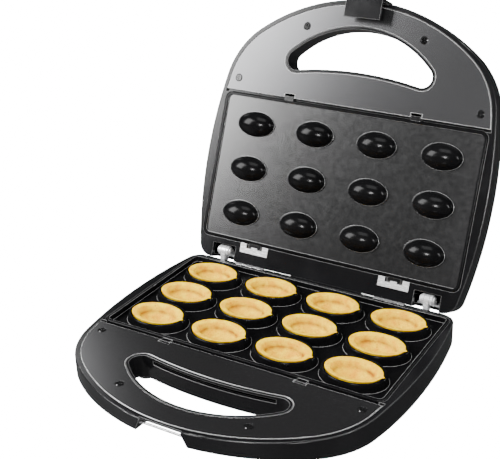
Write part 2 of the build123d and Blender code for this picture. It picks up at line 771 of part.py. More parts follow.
hinge_slots = [(side * HINGE_X, HINGE_SLOT_Y) for side in (-1, 1)]
base_bracket, base_bracket_spots = bracket_pair(
    base,
    BASE_REAR_Y,
    (Align.MIN, Align.CENTER),
    BASE_BRACKET_NEAR,
    BASE_BRACKET_FAR,
    (0,),
    BASE_EAR_THICK,
)
lid_ear_x = BASE_EAR_THICK / 2 + EAR_GAP + LID_EAR_THICK / 2
lid_bracket, lid_bracket_spots = bracket_pair(
    lid,
    LID_REAR_Y - WALL,
    (Align.MAX, Align.CENTER),
    LID_BRACKET_NEAR,
    LID_BRACKET_FAR,
    (-lid_ear_x, lid_ear_x),
    LID_EAR_THICK,
)

with BuildPart() as base_shell:
    add(
        moulded_half(
            base,
            base_outside.part,
            base_hollow.part,
            BASE_REAR_Y,
            LOWER_FLOOR,
            LOWER_REFLECTOR,
            BASE_REAR_TAB,
        )
    )
    add(pocket_block(base, base_outside.part, bay_profile.sketch, BAY_REAR_Y, WALL))
    add(pocket_block(base, base_outside.part, bay_profile.sketch, BAY_REAR_Y, 0), mode=Mode.SUBTRACT)
    add(nose_nick(base, BAY_START), mode=Mode.SUBTRACT)
    with BuildSketch(side_of(base)):
        with Locations((CATCH_Y, CATCH_DEPTH)):
            Circle(CATCH_RADIUS + PIN_FIT)
    extrude(amount=CATCH_HALF_X + PIN_FIT, both=True, mode=Mode.SUBTRACT)
    with BuildSketch(across(base, BASE_REAR_Y, -1)):
        with Locations(*base_bracket_spots):
            Circle(BRACKET_SCREW_HOLE)
    extrude(amount=WALL, mode=Mode.SUBTRACT)
    with BuildSketch(across(base, BOX_REAR_Y, -1)):
        with Locations((0, GLAND_DEPTH)):
            Circle(GLAND_BARREL)
    extrude(amount=WALL, mode=Mode.SUBTRACT)
    with BuildSketch(base.offset(BASE_CROWN_DEPTH)):
        with Locations(*foot_spots):
            Circle(FOOT_PEG)
    extrude(amount=-FOOT_SINK, mode=Mode.SUBTRACT)
base_shell.part.label = "base_shell"
export_step(base_shell.part, "parts/base_shell.step")

# Lid housing, with a pocket for the latch, slots for the hinge ears and holes for the lamps
pocket_start = trim_seat + POCKET_ROOF
with BuildSketch(mode=Mode.PRIVATE) as pocket_profile:
    with Locations((0, pocket_start)):
        Rectangle(2 * POCKET_HALF_X, 2 * SKIRT_DEPTH, align=(Align.CENTER, Align.MIN))
lamp_spots = [(side * LAMP_X, LAMP_Y) for side in (-1, 1)]
lid_outside = filled_half(lid, LID_REAR_Y, lid_crown)
with BuildPart() as lid_shell:
    add(
        moulded_half(
            lid,
            lid_outside,
            filled_half(lid, LID_REAR_Y, lid_crown, WALL),
            LID_REAR_Y,
            UPPER_FLOOR,
            UPPER_REFLECTOR,
            TAB_LENGTH,
        )
    )
    add(pocket_block(lid, lid_outside, pocket_profile.sketch, POCKET_REAR_Y, WALL))
    add(pocket_block(lid, lid_outside, pocket_profile.sketch, POCKET_REAR_Y, 0), mode=Mode.SUBTRACT)
    add(nose_nick(lid, pocket_start), mode=Mode.SUBTRACT)
    with BuildSketch(side_of(lid)):
        with Locations((LATCH_PIVOT_Y, LATCH_PIVOT_DEPTH)):
            Circle(LATCH_PIN_RADIUS + PIN_FIT)
    extrude(amount=POCKET_HALF_X + WALL, both=True, mode=Mode.SUBTRACT)
    with BuildSketch(lid):
        with Locations(*hinge_slots):
            Rectangle(2 * HINGE_SLOT_HALF, LID_REAR_Y, align=(Align.CENTER, Align.MIN))
    extrude(amount=LID_BRACKET_NEAR, mode=Mode.SUBTRACT)
    with BuildSketch(across(lid, LID_REAR_Y - WALL, 1)):
        with Locations(*lid_bracket_spots):
            Circle(BRACKET_SCREW_HOLE)
    extrude(amount=WALL - SCREW_SKIN, mode=Mode.SUBTRACT)
    with BuildSketch(lid.offset(LID_CROWN_DEPTH)):
        with Locations(*lamp_spots):
            Circle(LENS_BARREL)
    extrude(amount=-WALL, mode=Mode.SUBTRACT)
lid_shell.part.label = "lid_shell"
export_step(lid_shell.part, "parts/lid_shell.step")

# Trim panels and the screws that hold them
with BuildPart() as base_trim:
    add(trim_panel(base))
base_trim.part.label = "base_trim"
export_step(base_trim.part, "parts/base_trim.step")

with BuildPart() as lid_trim:
    add(trim_panel(lid))
lid_trim.part.label = "lid_trim"
export_step(lid_trim.part, "parts/lid_trim.step")

trim_screw_seat = RIM_DEPTH + TRIM_THICK / 2
with BuildPart() as base_trim_screws:
    add(screw_set(base.offset(trim_screw_seat), TRIM_SCREWS, SCREW_LENGTH, SCREW_HEAD, SCREW_SHANK))
base_trim_screws.part.label = "base_trim_screws"
export_step(base_trim_screws.part, "parts/base_trim_screws.step")

with BuildPart() as lid_trim_screws:
    add(screw_set(lid.offset(trim_screw_seat), TRIM_SCREWS, SCREW_LENGTH, SCREW_HEAD, SCREW_SHANK))
lid_trim_screws.part.label = "lid_trim_screws"
export_step(lid_trim_screws.part, "parts/lid_trim_screws.step")

# Lower plate: a collared cup, half a walnut deep, at each place of the grid
cup_centre = Plane.XY.offset(-COLLAR_RISE - DRAFT)
bump_centre = Plane.XY.offset(UPPER_FLOOR + DRAFT)
with BuildPart(mode=Mode.PRIVATE) as cup_back:
    with Locations(cup_centre):
        add(egg(CUP_HALF_X + CUP_WALL, CUP_HALF_Y + CUP_WALL))
    split(bisect_by=Plane.XY.offset(LOWER_FLOOR), keep=Keep.TOP)
with BuildPart(mode=Mode.PRIVATE) as cup_body:
    for height, wall_x, wall_y in (
        (-COLLAR_RISE, COLLAR_TOP_WALL, COLLAR_TOP_WALL),
        (LOWER_FLOOR, COLLAR_FOOT_WALL_X, COLLAR_FOOT_WALL_Y),
    ):
        with BuildSketch(Plane.XY.offset(height)):
            Ellipse(CUP_HALF_X + wall_x, CUP_HALF_Y + wall_y)
    loft()
    chamfer(cup_body.faces().sort_by(Axis.Z)[0].edges(), COLLAR_EDGE)
    add(cup_back.part)
with BuildPart(mode=Mode.PRIVATE) as cup_hollow:
    with Locations(cup_centre):
        add(egg(CUP_HALF_X, CUP_HALF_Y))
    # the base's x axis runs to the left, so the spout is on the right
    with Locations((-SPOUT_X, 0, SPOUT_DEPTH)):
        Cylinder(SPOUT_RADIUS + BAKE_GAP, SPOUT_LENGTH + 2 * BAKE_GAP, rotation=(0, 90, 0))

with BuildPart() as lower_plate:
    add(plate_tray(base, LOWER_FLOOR, BASE_REAR_TAB))
    with Locations(*grid_on(base)):
        add(cup_body.part)
        add(cup_hollow.part, mode=Mode.SUBTRACT)
lower_plate.part.label = "lower_plate"
export_step(lower_plate.part, "parts/lower_plate.step")

# Baked shells, one in each cup, hollow where the lid's bumps press in
with BuildPart(mode=Mode.PRIVATE) as baked_shell:
    with Locations(cup_centre):
        add(egg(CUP_HALF_X - BAKE_GAP, CUP_HALF_Y - BAKE_GAP))
    split(bisect_by=Plane.XY.offset(BAKE_GAP - COLLAR_RISE), keep=Keep.TOP)
    with Locations((-SPOUT_X, 0, SPOUT_DEPTH)):
        Cylinder(SPOUT_RADIUS, SPOUT_LENGTH, rotation=(0, 90, 0))
    with Locations((0, 0, -bump_centre.origin.Z)):
        add(egg(BUMP_HALF_X + BAKE_GAP, BUMP_HALF_Y + BAKE_GAP), mode=Mode.SUBTRACT)

with BuildPart() as baked_shells:
    with Locations(*grid_on(base)):
        add(baked_shell.part)
baked_shells.part.label = "baked_shells"
export_step(baked_shells.part, "parts/baked_shells.step")

# Upper plate: a hollow bump over each cup
with BuildPart(mode=Mode.PRIVATE) as bump_body:
    with Locations(bump_centre):
        add(egg(BUMP_HALF_X, BUMP_HALF_Y))
    split(bisect_by=Plane.XY.offset(UPPER_FLOOR), keep=Keep.BOTTOM)
with BuildPart(mode=Mode.PRIVATE) as bump_hollow:
    with Locations(bump_centre):
        add(egg(BUMP_HALF_X - BUMP_SHEET, BUMP_HALF_Y - BUMP_SHEET))

with BuildPart() as upper_plate:
    add(plate_tray(lid, UPPER_FLOOR, TAB_LENGTH))
    with Locations(*grid_on(lid)):
        add(bump_body.part)
        add(bump_hollow.part, mode=Mode.SUBTRACT)
upper_plate.part.label = "upper_plate"
export_step(upper_plate.part, "parts/upper_plate.step")

# Spring clips over the plates' rear tabs
with BuildPart() as lower_plate_clips:
    add(clip_pair(base, PLATE_HALF_Y + BASE_REAR_TAB + BASE_CLIP_BACK, BASE_CLIP_BACK))
lower_plate_clips.part.label = "lower_plate_clips"
export_step(lower_plate_clips.part, "parts/lower_plate_clips.step")

with BuildPart() as upper_plate_clips:
    add(clip_pair(lid, PLATE_HALF_Y + TAB_LENGTH + PLATE_GAP + LID_CLIP_BACK, LID_CLIP_BACK))
upper_plate_clips.part.label = "upper_plate_clips"
export_step(upper_plate_clips.part, "parts/upper_plate_clips.step")

# Heaters against the plates' backs, and the bright trays behind them
lower_back = LOWER_FLOOR + PLATE_SHEET
upper_back = UPPER_FLOOR + PLATE_SHEET
with BuildPart() as lower_heater:
    add(heater_loop(base, lower_back))
lower_heater.part.label = "lower_heater"
export_step(lower_heater.part, "parts/lower_heater.step")

with BuildPart() as upper_heater:
    add(heater_loop(lid, upper_back))
upper_heater.part.label = "upper_heater"
export_step(upper_heater.part, "parts/upper_heater.step")

with BuildPart() as lower_reflector:
    add(reflector_tray(base, LOWER_REFLECTOR))
lower_reflector.part.label = "lower_reflector"
export_step(lower_reflector.part, "parts/lower_reflector.step")

with BuildPart() as upper_reflector:
    add(reflector_tray(lid, UPPER_REFLECTOR))
upper_reflector.part.label = "upper_reflector"
export_step(upper_reflector.part, "parts/upper_reflector.step")

# Thermostats on the plates' backs
with BuildPart() as lower_thermostat:
    add(thermostat(base, lower_back))
lower_thermostat.part.label = "lower_thermostat"
export_step(lower_thermostat.part, "parts/lower_thermostat.step")

with BuildPart() as upper_thermostat:
    add(thermostat(lid, upper_back))
upper_thermostat.part.label = "upper_thermostat"
export_step(upper_thermostat.part, "parts/upper_thermostat.step")

# Thermal fuse, lying on the lower plate's back behind the rear cups
with BuildPart() as thermal_fuse:
    fuse_view = side_of(base)
    for radius, half_length in ((FUSE_RADIUS, FUSE_HALF), (FUSE_LEAD, FUSE_LEAD_HALF)):
        with BuildSketch(fuse_view):
            with Locations((FUSE_Y, lower_back + FUSE_RADIUS)):
                Circle(radius)
        extrude(amount=half_length, both=True)
thermal_fuse.part.label = "thermal_fuse"
export_step(thermal_fuse.part, "parts/thermal_fuse.step")

# Terminal block on the wiring box's floor, with its row of screw poles
block_y = (BASE_REAR_Y + BOX_REAR_Y) / 2
block_foot = BOX_LOW - WALL
with BuildPart() as terminal_block:
    with BuildSketch(base.offset(block_foot)):
        with Locations((0, block_y)):
            RectangleRounded(BLOCK_X, BLOCK_Y, BLOCK_EDGE)
    extrude(amount=-BLOCK_HIGH)
    with BuildSketch(base.offset(block_foot - BLOCK_HIGH)):
        with Locations((0, block_y)):
            with GridLocations(BLOCK_X / BLOCK_POLES, 0, BLOCK_POLES, 1):
                Circle(BLOCK_POLE)
    extrude(amount=BLOCK_HIGH / 2, mode=Mode.SUBTRACT)
terminal_block.part.label = "terminal_block"
export_step(terminal_block.part, "parts/terminal_block.step")

with BuildPart() as terminal_screws:
    with BuildSketch(base.offset(block_foot - BLOCK_HIGH / 2)):
        with Locations((0, block_y)):
            with GridLocations(BLOCK_X / BLOCK_POLES, 0, BLOCK_POLES, 1):
                Circle(BLOCK_POLE - PIN_FIT)
    extrude(amount=-SCREW_HEAD_HIGH)
terminal_screws.part.label = "terminal_screws"
export_step(terminal_screws.part, "parts/terminal_screws.step")

# Cord gland in the wiring box's rear wall
with BuildPart() as cord_gland:
    with BuildSketch(across(base, BOX_REAR_Y, 1)):
        with Locations((0, GLAND_DEPTH)):
            Circle(GLAND_FLANGE)
    extrude(amount=GLAND_FLANGE_THICK)
    flange_face = cord_gland.faces().sort_by(Axis.Y)[-1]
    chamfer(flange_face.edges(), GLAND_FLANGE_THICK / 3)
    with BuildSketch(across(base, BOX_REAR_Y, 1)):
        with Locations((0, GLAND_DEPTH)):
            Circle(GLAND_BARREL - PIN_FIT)
    extrude(amount=GLAND_FLANGE_THICK + GLAND_COLLAR)
    with BuildSketch(across(base, BOX_REAR_Y, -1)):
        with Locations((0, GLAND_DEPTH)):
            Circle(GLAND_BARREL - PIN_FIT)
    extrude(amount=GLAND_INNER_LENGTH)
    with BuildSketch(across(base, BOX_REAR_Y, 1)):
        with Locations((0, GLAND_DEPTH)):
            Circle(GLAND_BORE)
    extrude(amount=GLAND_INNER_LENGTH + GLAND_FLANGE_THICK, both=True, mode=Mode.SUBTRACT)
cord_gland.part.label = "cord_gland"
export_step(cord_gland.part, "parts/cord_gland.step")

# Rubber feet, pegged into their pads
with BuildPart() as feet:
    with BuildSketch(base.offset(BASE_CROWN_DEPTH)):
        with Locations(*foot_spots):
            Circle(FOOT_RADIUS)
    extrude(amount=foot_height, taper=FOOT_TAPER)
    fillet(feet.faces().sort_by(Axis.Z)[: len(foot_spots)].edges(), FOOT_EDGE)
    with BuildSketch(base.offset(BASE_CROWN_DEPTH)):
        with Locations(*foot_spots):
            Circle(FOOT_PEG - PIN_FIT)
    extrude(amount=-FOOT_SINK)
feet.part.label = "feet"
export_step(feet.part, "parts/feet.step")

# Hinge brackets, their screws and the pins that join them
with BuildPart() as base_hinge_brackets:
    add(base_bracket)
base_hinge_brackets.part.label = "base_hinge_brackets"
export_step(base_hinge_brackets.part, "parts/base_hinge_brackets.step")

with BuildPart() as lid_hinge_brackets:
    add(lid_bracket)
lid_hinge_brackets.part.label = "lid_hinge_brackets"
export_step(lid_hinge_brackets.part, "parts/lid_hinge_brackets.step")

bracket_screw_length = BRACKET_SHEET + WALL - SCREW_SKIN - PIN_FIT
with BuildPart() as base_hinge_screws:
    seat = across(base, BASE_REAR_Y + BRACKET_SHEET, -1)
    add(screw_set(seat, base_bracket_spots, bracket_screw_length, BRACKET_SCREW_HEAD, BRACKET_SCREW_SHANK))
base_hinge_screws.part.label = "base_hinge_screws"
export_step(base_hinge_screws.part, "parts/base_hinge_screws.step")

with BuildPart() as lid_hinge_screws:
    seat = across(lid, LID_REAR_Y - WALL - BRACKET_SHEET, 1)
    add(screw_set(seat, lid_bracket_spots, bracket_screw_length, BRACKET_SCREW_HEAD, BRACKET_SCREW_SHANK))
lid_hinge_screws.part.label = "lid_hinge_screws"
export_step(lid_hinge_screws.part, "parts/lid_hinge_screws.step")

pin_half = lid_ear_x + LID_EAR_THICK / 2 + PIN_END_GAP
with BuildPart() as hinge_pins:
    for side in (-1, 1):
        with BuildSketch(side_of(base, side * HINGE_X)):
            add(hinge_circle(base, PIN_RADIUS))
        extrude(amount=pin_half, both=True)
        for end in (-1, 1):
            with BuildSketch(side_of(base, side * HINGE_X + end * pin_half)):
                add(hinge_circle(base, PIN_HEAD))
            extrude(amount=end * PIN_HEAD_THICK)
hinge_pins.part.label = "hinge_pins"
export_step(hinge_pins.part, "parts/hinge_pins.step")

# Catch bar across the bay in the base's nose
with BuildPart() as catch_bar:
    with BuildSketch(side_of(base)):
        with Locations((CATCH_Y, CATCH_DEPTH)):
            Circle(CATCH_RADIUS)
    extrude(amount=CATCH_HALF_X, both=True)
catch_bar.part.label = "catch_bar"
export_step(catch_bar.part, "parts/catch_bar.step")

# Latch: an arm in front of the nose, a barrel on its pin and a lip that reaches under the catch bar
lip_depth = -(CATCH_DEPTH + CATCH_RADIUS + CATCH_GAP)
arm_back = LATCH_NICK - NOSE_REACH - LATCH_FRONT_GAP
arm_front = arm_back - LATCH_ARM
with BuildPart() as latch:
    with BuildSketch(side_of(lid)) as outline:
        with Locations((arm_front, lip_depth - LATCH_LIP)):
            Rectangle(LATCH_ARM, LATCH_TOP - lip_depth + LATCH_LIP, align=Align.MIN)
            Rectangle(LATCH_LIP_Y - arm_front, LATCH_LIP, align=Align.MIN)
        with BuildSketch(mode=Mode.PRIVATE) as web:
            with Locations((LATCH_PIVOT_Y, LATCH_PIVOT_DEPTH)):
                Circle(LATCH_BARREL)
            with Locations((arm_front, LATCH_PIVOT_DEPTH)):
                Rectangle(LATCH_ARM, 2 * LATCH_BARREL, align=(Align.MIN, Align.CENTER))
            make_hull()
        add(web.sketch)
        fillet(outline.vertices().group_by(Axis.X)[0], LATCH_EDGE)
    extrude(amount=LATCH_HALF_X, both=True)
    with BuildSketch(side_of(lid)):
        with Locations((LATCH_PIVOT_Y, LATCH_PIVOT_DEPTH)):
            Circle(LATCH_PIN_RADIUS + PIN_FIT)
    extrude(amount=LATCH_HALF_X, both=True, mode=Mode.SUBTRACT)
latch.part.label = "latch"
export_step(latch.part, "parts/latch.step")

with BuildPart() as latch_pin:
    with BuildSketch(side_of(lid)):
        with Locations((LATCH_PIVOT_Y, LATCH_PIVOT_DEPTH)):
            Circle(LATCH_PIN_RADIUS)
    extrude(amount=LATCH_PIN_HALF, both=True)
latch_pin.part.label = "latch_pin"
export_step(latch_pin.part, "parts/latch_pin.step")

# Indicator lamps behind two lenses on the lid
with BuildPart() as lamp_lenses:
    with BuildSketch(lid.offset(LID_CROWN_DEPTH)):
        with Locations(*lamp_spots):
            Circle(LENS_FLANGE)
    extrude(amount=LENS_RISE)
    caps = lamp_lenses.faces().group_by(Axis(lid.origin, lid.z_dir))[-1]
    fillet(caps.edges(), LENS_RISE * 2 / 3)
    with BuildSketch(lid.offset(LID_CROWN_DEPTH)):
        with Locations(*lamp_spots):
            Circle(LENS_BARREL - PIN_FIT)
    extrude(amount=-LENS_LENGTH)
lamp_lenses.part.label = "lamp_lenses"
export_step(lamp_lenses.part, "parts/lamp_lenses.step")

with BuildPart() as indicator_lamps:
    with BuildSketch(lid.offset(LID_CROWN_DEPTH - LENS_LENGTH - LAMP_GAP)):
        with Locations(*lamp_spots):
            Circle(LAMP_RADIUS)
    extrude(amount=-LAMP_LENGTH)
    ends = indicator_lamps.faces().group_by(Axis(lid.origin, lid.z_dir))[-1]
    fillet(ends.edges(), LAMP_RADIUS / 2)
indicator_lamps.part.label = "indicator_lamps"
export_step(indicator_lamps.part, "parts/indicator_lamps.step")
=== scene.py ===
import json
import math

import bmesh
import bpy
from mathutils import Matrix, Vector


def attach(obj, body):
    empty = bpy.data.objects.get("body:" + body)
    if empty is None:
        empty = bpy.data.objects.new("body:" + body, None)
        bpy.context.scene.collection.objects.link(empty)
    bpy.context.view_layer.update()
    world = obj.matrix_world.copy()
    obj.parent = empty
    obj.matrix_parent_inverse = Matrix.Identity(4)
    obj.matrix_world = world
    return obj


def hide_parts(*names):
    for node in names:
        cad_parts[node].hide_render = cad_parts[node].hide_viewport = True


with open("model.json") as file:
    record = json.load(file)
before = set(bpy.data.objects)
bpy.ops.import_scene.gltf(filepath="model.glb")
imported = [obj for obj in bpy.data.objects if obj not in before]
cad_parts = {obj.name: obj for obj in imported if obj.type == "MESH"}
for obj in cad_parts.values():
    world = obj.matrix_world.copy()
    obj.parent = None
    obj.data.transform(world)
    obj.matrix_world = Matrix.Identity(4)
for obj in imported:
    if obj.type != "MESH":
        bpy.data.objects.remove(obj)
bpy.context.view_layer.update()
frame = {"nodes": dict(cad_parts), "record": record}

MM = 0.001

# Places and sizes shared with the frame, in millimetres and degrees
PLATE_Y = -8.5
PARTING_Z = 46.0
HINGE_Y = 71.7
HINGE_RISE = 4.1
OPEN_ANGLE = 113.0
CUP_COLUMNS = 4
CUP_ROWS = 3
PITCH_X = 55.0
PITCH_Y = 37.5
CUP_HALF_X = 22.1
CUP_HALF_Y = 16.0
CUP_CENTRE_Z = 48.1
RIM_Z = 47.64
HOLLOW_HALF_X = 17.25
HOLLOW_HALF_Y = 10.85
HOLLOW_CENTRE_Z = 48.4
TRIM_SCREWS = ((106.5, -73.6), (51.1, -123.0))
SCREW_SINK = 0.8

# A point on the hinge line
HINGE = Vector((0.0, PLATE_Y + HINGE_Y, PARTING_Z + HINGE_RISE))

# How closely a rounded normal follows its face where the painted edge highlight starts, and where it is
# full
EDGE_START = 0.985
EDGE_FULL = 0.94

# How near a screw the painted edge highlight ends, and how far under the shells' rims, each with its fade
SCREW_CLEAR = 4.1
SCREW_FADE = 0.4
COLLAR_CLEAR = 1.3
COLLAR_FADE = 0.3

# How far behind the lid's parting plane the coating starts to turn polished, and where it is so
POLISH_START = 1.3
POLISH_END = 0.7

# The baked shells: millimetres, shares of the reach, degrees between steps, and a spread in radians
BAKE_GAP = 0.3
SHRINK_X = 0.985
SHRINK_Y = 0.91
SHELL_STEPS = 120
SIDE_STEPS = 13
SIDE_TURN = 7
RIM_HEIGHT = 0.6
SIDE_BROWN = 0.3
HOLLOW_STEPS = 15
HOLLOW_TURN = 6
# The brown over the hollow and the line along its wall are browning, and also painted shade that draws the
# hollow.
HOLLOW_BROWN_AND_SHADE = 0.03
LINE_REACH = 0.86
LINE_WIDTH = 0.065
NUB_REACH = 1.9
NUB_SPREAD = 0.075
NUB_START = 0.95
NUB_DEPTH = 1.0

# Rim of a shell from outside to inside: share of the reach, height over the rim, browning
RIM_SECTION = (
    (0.985, -0.12, 0.3), (0.995, -0.10, 0.22), (1.0, -0.02, 0.08), (0.985, 0.05, 0.02),
    (0.955, 0.04, 0.02), (0.92, -0.12, 0.02), (0.87, -0.26, 0.03), (0.835, -0.45, 0.05),
)

# The camera's place round the plate, its tilt and its lens, in degrees, millimetres and pixels
CAMERA_BEARING = 28.681
CAMERA_HEIGHT = 24.141
CAMERA_ROLL = -0.513
CAMERA_TARGET = (0, PLATE_Y, 45.0)
CAMERA_AWAY = 743.092
CAMERA_ACROSS = 24.732
CAMERA_RISE = 80.776
FOCAL_LENGTH = 990.148
PICTURE_WIDTH = 500
SENSOR_WIDTH = 36
SHIFT_X = -60
SHIFT_Y = -18

# The point that the lights are aimed at, in metres
LIGHT_TARGET = Vector((0, 0, 0.1))

# Brightness of the world and of the table top for each kind of ray, and the crust's colour for each kind of
# ray, painted darker where it is seen in reflections
WORLD_LIGHT = {"camera": 20.0, "glossy": 0.02, "other": 1.7}
CRUST_REFLECTION_DIMMING = {"camera": 1.0, "glossy": 0.25, "other": 1.0}
TABLE_TONE = {"camera": 1.0, "glossy": 0.05, "other": 0.7}
TABLE_GLOW = {"camera": 18.0, "glossy": 0.0, "other": 0.0}

# Half the width of the table top, in metres
TABLE_REACH = 6.0


def heading(bearing, height):
    """The way to a bearing from the front and a height over the table, both in degrees."""
    bearing, height = math.radians(bearing), math.radians(height)
    return Vector((
        math.sin(bearing) * math.cos(height),
        -math.cos(bearing) * math.cos(height),
        math.sin(height),
    ))


def linked(item):
    """The item, linked into the scene."""
    bpy.context.scene.collection.objects.link(item)
    return item


# The camera
def photo_camera():
    """The camera of the photograph: a fitted place, tilt and lens, with a small lens shift."""
    back = heading(CAMERA_BEARING, CAMERA_HEIGHT)
    turn, roll = math.radians(CAMERA_BEARING), math.radians(CAMERA_ROLL)
    right = Vector((math.cos(turn), math.sin(turn), 0))
    up = back.cross(right)
    side = right * math.cos(roll) + up * math.sin(roll)
    top = up * math.cos(roll) - right * math.sin(roll)
    place = Vector(CAMERA_TARGET) + back * CAMERA_AWAY + side * CAMERA_ACROSS + top * CAMERA_RISE
    data = bpy.data.cameras.new("photo_camera")
    data.sensor_width = SENSOR_WIDTH
    data.lens = FOCAL_LENGTH / PICTURE_WIDTH * SENSOR_WIDTH
    data.shift_x = SHIFT_X / PICTURE_WIDTH
    data.shift_y = SHIFT_Y / PICTURE_WIDTH
    data.clip_start, data.clip_end = 0.01, 20
    camera = linked(bpy.data.objects.new("photo_camera", data))
    camera.matrix_world = Matrix.Translation(place * MM) @ Matrix((side, top, back)).transposed().to_4x4()
    bpy.context.scene.camera = camera


photo_camera()


# The light
def softbox(name, bearing, height, reach, size, watts, diffuse=True):
    """A rectangular area light at a bearing from the front and a height in degrees, aimed at the plates."""
    way = heading(bearing, height)
    data = bpy.data.lights.new(name, "AREA")
    data.shape = "RECTANGLE"
    data.size, data.size_y = size
    data.energy = watts
    lamp = linked(bpy.data.objects.new(name, data))
    lamp.location = LIGHT_TARGET + way * reach
    lamp.rotation_mode = "QUATERNION"
    lamp.rotation_quaternion = (-way).to_track_quat("-Z", "Y")
    lamp.visible_diffuse = diffuse


def seen_by(tree, camera, glossy, other):
    """A value that differs for camera rays, for glossy rays and for all others."""
    path = tree.nodes.new("ShaderNodeLightPath")
    value = None
    for output, level in (("Is Glossy Ray", glossy), ("Is Camera Ray", camera)):
        choice = tree.nodes.new("ShaderNodeMix")
        choice.data_type = "FLOAT"
        tree.links.new(path.outputs[output], choice.inputs[0])
        if value is None:
            choice.inputs[2].default_value = other
        else:
            tree.links.new(value, choice.inputs[2])
        choice.inputs[3].default_value = level
        value = choice.outputs[0]
    return value


def studio():
    """A white sweep all round, kept low in reflections so that the black housing stays black."""
    world = bpy.data.worlds.new("studio")
    bpy.context.scene.world = world
    world.use_nodes = True
    background = world.node_tree.nodes["Background"]
    background.inputs["Color"].default_value = (1, 1, 1, 1)
    strength = seen_by(world.node_tree, **WORLD_LIGHT)
    world.node_tree.links.new(strength, background.inputs["Strength"])


studio()
softbox("broad_left", bearing=-54, height=30, reach=1.5, size=(0.7, 1.0), watts=48)
softbox("small_front", bearing=10, height=26, reach=1.7, size=(0.34, 0.2), watts=30, diffuse=False)
softbox("strip_right", bearing=84, height=24, reach=1.4, size=(0.14, 0.5), watts=9)
softbox("back_left", bearing=-120, height=30, reach=1.4, size=(0.4, 0.4), watts=1.8)
softbox("overhead", bearing=20, height=82, reach=1.3, size=(0.8, 0.6), watts=7)


# Patterns shared by the finishes
def node_group(name, inputs, outputs):
    """An empty shader group with its named inputs and outputs."""
    group = bpy.data.node_groups.new(name, "ShaderNodeTree")
    kinds = {"float": "NodeSocketFloat", "color": "NodeSocketColor", "vector": "NodeSocketVector"}
    for label, kind, value in inputs:
        socket = group.interface.new_socket(name=label, in_out="INPUT", socket_type=kinds[kind])
        socket.default_value = value
    for label, kind in outputs:
        group.interface.new_socket(name=label, in_out="OUTPUT", socket_type=kinds[kind])
    return group, group.nodes.new("NodeGroupInput").outputs, group.nodes.new("NodeGroupOutput").inputs


class Tree:
    """Shorthand for the nodes of one material or group."""

    def __init__(self, tree):
        self.tree = tree

    def feed(self, socket, value):
        """A link from another socket, or a constant set on this one."""
        if isinstance(value, bpy.types.NodeSocket):
            self.tree.links.new(value, socket)
        elif isinstance(value, tuple) and socket.type == "RGBA":
            socket.default_value = (*value, 1)
        else:
            socket.default_value = value

    def node(self, kind, settings, **inputs):
        """The outputs of a new node with its settings and inputs."""
        node = self.tree.nodes.new(kind)
        for label, value in settings.items():
            setattr(node, label, value)
        for label, value in inputs.items():
            self.feed(node.inputs[label.replace("_", " ")], value)
        return node.outputs

    def noise(self, where, scale, detail=4.0, roughness=0.5):
        """Soft noise of a scale, as a value round a half."""
        return self.node(
            "ShaderNodeTexNoise", {}, Vector=where, Scale=scale, Detail=detail, Roughness=roughness,
        )["Fac"]

    def cells(self, where, scale):
        """Distance to the middle of the nearest cell."""
        return self.node("ShaderNodeTexVoronoi", {}, Vector=where, Scale=scale)["Distance"]

    def fade(self, value, from_low, from_high, to_low=0.0, to_high=1.0):
        """A value carried from one range into another and held at its ends."""
        node = self.tree.nodes.new("ShaderNodeMapRange")
        for socket, part in zip(node.inputs, (value, from_low, from_high, to_low, to_high)):
            self.feed(socket, part)
        return node.outputs["Result"]

    def maths(self, kind, *values):
        """One operation on numbers."""
        node = self.tree.nodes.new("ShaderNodeMath")
        node.operation = kind
        for socket, value in zip(node.inputs, values):
            self.feed(socket, value)
        return node.outputs["Value"]

    def vectors(self, kind, first, second, output="Value"):
        """One operation on two vectors, or on a vector and its scale."""
        node = self.tree.nodes.new("ShaderNodeVectorMath")
        node.operation = kind
        self.feed(node.inputs[0], first)
        self.feed(node.inputs["Scale" if kind == "SCALE" else 1], second)
        return node.outputs[output]

    def mix(self, factor, first, second, kind="MIX"):
        """A blend of two colours."""
        node = self.tree.nodes.new("ShaderNodeMix")
        node.data_type = "RGBA"
        node.blend_type = kind
        for index, value in ((0, factor), (6, first), (7, second)):
            self.feed(node.inputs[index], value)
        return node.outputs[2]

    def dimmed(self, colour, level):
        """A colour multiplied by a level that varies."""
        grey = self.node("ShaderNodeCombineColor", {}, Red=level, Green=level, Blue=level)["Color"]
        return self.mix(1.0, colour, grey, "MULTIPLY")

    def bump(self, height, distance, strength, normal):
        """A normal raised by a height over another normal."""
        return self.node(
            "ShaderNodeBump", {}, Height=height, Distance=distance, Strength=strength, Normal=normal,
        )["Normal"]

    def where(self, stretch=(1, 1, 1)):
        """Object coordinates, drawn out along an axis where its stretch is small."""
        place = self.tree.nodes.new("ShaderNodeTexCoord").outputs["Object"]
        return self.node("ShaderNodeMapping", {}, Vector=place, Scale=stretch)["Vector"]


